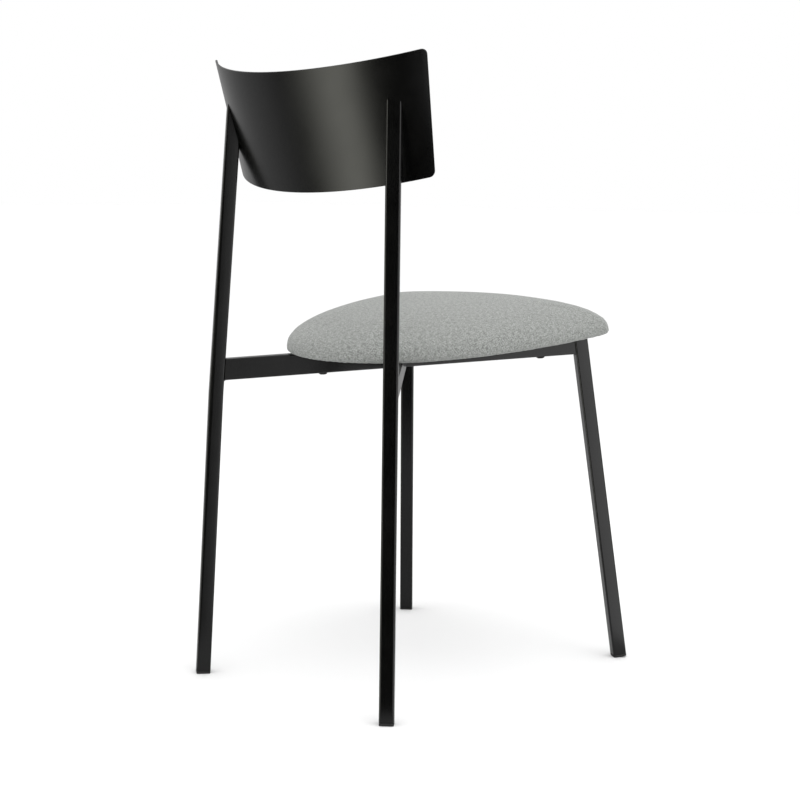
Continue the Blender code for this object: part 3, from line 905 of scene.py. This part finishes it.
def makeSeatPad(values, facts):
    form = padForm(values, facts)
    piece = addPiece("seat_pad", form, cloth, ["seat_cover", "seat_foam"])
    voxels = piece.modifiers.new("evenMesh", "REMESH")
    voxels.mode = "VOXEL"
    voxels.voxel_size = values["voxel"]
    voxels.use_smooth_shade = True
    settle(piece)
    print("pad mesh:", len(piece.data.vertices), "points")
    swell(piece, values, facts)
    subdivided = piece.modifiers.new("finer", "SUBSURF")
    subdivided.levels = subdivided.render_levels = 1
    settle(piece)
    holdForm(piece.data, values, facts)
    roundUnder(piece.data, values, facts)
    pleat(piece.data, values, facts)
    openUnder(piece.data, values, facts)
    clothLay(piece.data, values, facts)
    wall = piece.modifiers.new("clothWall", "SOLIDIFY")
    wall.thickness = values["wall"]
    wall.offset = -1
    shadeSmooth(piece)


makeSeatPad(seatPad, padFacts)
print("seat pad made")


# dust cover, with its staples

dustCover = {
    "thickness": 0.0008,
    "spacing": 0.034,  # from staple to staple
    "stapleShare": 0.885,  # of the pad's outline
    "stapleLength": 0.010,
    "stapleWide": 0.0011,
    "stapleHigh": 0.0005,
    "stapleEdge": 0.0002,
    "stapleSunk": 0.4,  # share of its height
    "stapleTurn": 0.12,  # how far a staple may lie off its line, in radians
    "turnChange": 90,  # how fast that changes along the edge
    "clearOfRails": 0.016,
    "crossing": (0.0, 0.0135),  # of the two rails
    "railAngle": 38.7,  # from the fore-and-aft line, in degrees
    "edgePlaces": 2880,
}


def makeDustCover():
    shape = mergedCopy("dust_cover")
    down = [face for face in shape.faces if face.normal.z < -0.5]
    area = sum(face.calc_area() for face in down)
    piece = addPiece("dust_cover_felt", shape, felt, ["dust_cover"])


def stapleShape(shape, values, place):
    # the flat back of a staple, with rounded edges
    size = (values["stapleLength"], values["stapleWide"], values["stapleHigh"], 1)
    made = bmesh.ops.create_cube(shape, size=1, matrix=Matrix.Diagonal(size))
    edges = {edge for vertex in made["verts"] for edge in vertex.link_edges}
    rounded = bmesh.ops.bevel(
        shape, geom=list(edges), affect="EDGES", offset=values["stapleEdge"],
        segments=2, profile=0.5, material=-1)
    verts = {vertex for face in rounded["faces"] for vertex in face.verts}
    verts |= {vertex for vertex in made["verts"] if vertex.is_valid}
    bmesh.ops.transform(shape, matrix=place, verts=list(verts))


def awayFromRails(x, y, values):
    # distance in plan from the nearer rail's middle line
    beside, before = x - values["crossing"][0], y - values["crossing"][1]
    angle = math.radians(values["railAngle"])
    return min(abs(beside * math.cos(angle) - side * before * math.sin(angle)) for side in (-1, 1))


def makeStaples(values, facts, slope):
    points = [vertex.co for vertex in nodes["dust_cover"].data.vertices]
    underside = min(point.z + slope * point.y for point in points)
    places = values["edgePlaces"]
    angles = np.linspace(-math.pi, math.pi, places, endpoint=False)
    radii = outlineRadius(facts, angles) * values["stapleShare"]
    xs = facts["middle"][0] + radii * np.cos(angles)
    ys = facts["middle"][1] + radii * np.sin(angles)
    run = np.concatenate([[0], np.cumsum(np.hypot(np.diff(xs), np.diff(ys)))])
    shape = bmesh.new()
    count = 0
    for distance in np.arange(values["spacing"] / 2, run[-1], values["spacing"]):
        index = int(np.searchsorted(run, distance))
        x, y = xs[index], ys[index]
        if awayFromRails(x, y, values) < values["clearOfRails"]:
            continue
        ahead = (index + 1) % places
        heading = math.atan2(ys[ahead] - ys[index - 1], xs[ahead] - xs[index - 1])
        change = values["turnChange"]
        askew = values["stapleTurn"] * noise.noise(Vector((x * change, y * change, 0.5)))
        tilt = Matrix.Rotation(-math.atan(slope), 4, "X")
        low = underside - slope * y - values["stapleHigh"] * values["stapleSunk"]
        turn = tilt @ Matrix.Rotation(heading + askew, 4, "Z")
        stapleShape(shape, values, Matrix.Translation((x, y, low)) @ turn)
        count += 1
    bmesh.ops.recalc_face_normals(shape, faces=shape.faces)
    shadeSmooth(addPiece("dust_cover_staples", shape, stapleWire))
    print("staples:", count)


makeDustCover()
makeStaples(dustCover, padFacts, seatPad["slope"])
print("dust cover made")


# studio with a pale floor and soft light

studio = {
    "floorSize": 60,
    "floorTone": 0.86,
    "paperSize": 60,  # waves per metre of the paper's grain
    "cardRadius": 0.34,
    "cardHeight": 0.0004,
    "cardTone": 0.43,
    "skyTone": 1.2,  # on cloth and floor
    "topTone": 1.0,  # overhead, in the steel
    "topStart": 0.5,  # how far up the overhead light starts to blend in
    "topWhole": 0.95,
    "strongest": 3.0,
    # brightness round the horizon as the steel reflects it, by degrees: 0 is straight behind the
    # chair and 90 on its right
    "whiteSide": [
        (-180, 0.5), (-128, 0.55), (-60, 0.42), (-46, 0.2), (22, 0), (52, 0), (57, 0.42),
        (62, 1.15), (70, 1.75), (85, 1.6), (110, 0.9), (140, 0.5), (180, 0.5),
    ],
    "warmSide": [
        (-35, 0.35), (-27, 1.0), (-19, 1.9), (-10, 2.7), (-3, 3.0), (4, 2.4), (11, 1.0),
        (17, 0.12),
    ],
    "warmBlue": 0.9,  # blue against red and green on the warm side
    "keyPlace": (-0.8, 0.4, 2.6),
    "keyAim": (0, 0, 0.3),
    "keySize": 2.6,
    "keyPower": 30,
}


def addStage(name, shape, finish):
    mesh = bpy.data.meshes.new(name)
    shape.to_mesh(mesh)
    shape.free()
    mesh.materials.append(finish)
    item = bpy.data.objects.new(name, mesh)
    bpy.context.scene.collection.objects.link(item)
    return item


def makeFloor(values):
    finish, wire, place = startFinish("studioFloorPaper")
    fine = wire.grain(place, values["paperSize"], 2)
    pale = (values["floorTone"],) * 3 + (1,)
    endFinish(wire, {
        "Base Color": fine.blend(shaded(pale, 0.995), pale),
        "Roughness": 0.9,
        "Specular IOR Level": 0.1,
    })
    shape = bmesh.new()
    half = values["floorSize"] / 2
    bmesh.ops.create_grid(shape, x_segments=1, y_segments=1, size=half)
    floor = addStage("studioFloor", shape, finish)
    floor.visible_glossy = False


def makeBounce(values):
    # a grey card under the chair that only the steel reflects
    finish, wire, place = startFinish("bounceCardPaper")
    fine = wire.grain(place, values["paperSize"], 2)
    pale = (values["cardTone"],) * 3 + (1,)
    endFinish(wire, {"Base Color": fine.blend(shaded(pale, 0.97), pale), "Roughness": 0.9})
    shape = bmesh.new()
    lifted = Matrix.Translation((0, 0, values["cardHeight"]))
    radius = values["cardRadius"]
    bmesh.ops.create_circle(shape, cap_ends=True, segments=48, radius=radius, matrix=lifted)
    card = addStage("bounceCard", shape, finish)
    card.visible_camera = False
    card.visible_diffuse = False
    card.visible_shadow = False


def makeSky(values):
    # soft light from all round, with the studio's bright and dark sides for the steel to reflect
    world = bpy.data.worlds.new("softStudio")
    bpy.context.scene.world = world
    world.use_nodes = True
    world.cycles.sampling_method = "NONE"
    tree = world.node_tree
    tree.nodes.clear()
    wire = Wire(tree)
    toward = wire.add("TexCoord", None, None, output="Generated")
    parts = wire.add("SeparateXYZ", None, {0: toward})
    turn = wire.maths("ARCTAN2", parts * -1, parts.sibling(1))
    around = turn / (2 * math.pi) + 0.5
    strongest = values["strongest"]
    sides = [(angle, level, 1.0) for angle, level in values["whiteSide"]]
    sides += [(angle, level, values["warmBlue"]) for angle, level in values["warmSide"]]
    stops = []
    for angle, level, blue in sorted(sides):
        tone = level / strongest
        stops.append(((angle + 180) / 360, (tone, tone, tone * blue)))
    low = wire.add("ValToRGB", {"stops": stops}, {0: around})
    overhead = (values["topTone"] / strongest,) * 3 + (1,)
    seen = parts.sibling(2).between(values["topStart"], values["topWhole"]).blend(low, overhead)
    ray = wire.add("LightPath", None, None, output="Is Camera Ray")
    shiny = wire.add("LightPath", None, None, output="Is Glossy Ray")
    plain = ray + (1 - ray) * values["skyTone"]
    back = wire.add("Background", None, {
        "Color": shiny.blend((1, 1, 1, 1), seen),
        "Strength": shiny * strongest + (1 - shiny) * plain,
    })
    wire.add("OutputWorld", None, {"Surface": back})


def makeKey(values):
    data = bpy.data.lights.new("softKey", "AREA")
    data.shape = "SQUARE"
    data.size = values["keySize"]
    data.energy = values["keyPower"]
    lamp = bpy.data.objects.new("softKey", data)
    bpy.context.scene.collection.objects.link(lamp)
    lamp.location = values["keyPlace"]
    aim = Vector(values["keyAim"]) - lamp.location
    lamp.rotation_euler = aim.to_track_quat("-Z", "Y").to_euler()
    lamp.visible_camera = False
    lamp.visible_glossy = False


makeFloor(studio)
makeBounce(studio)
makeSky(studio)
makeKey(studio)
bpy.context.scene.view_settings.view_transform = "Standard"
print("studio made")
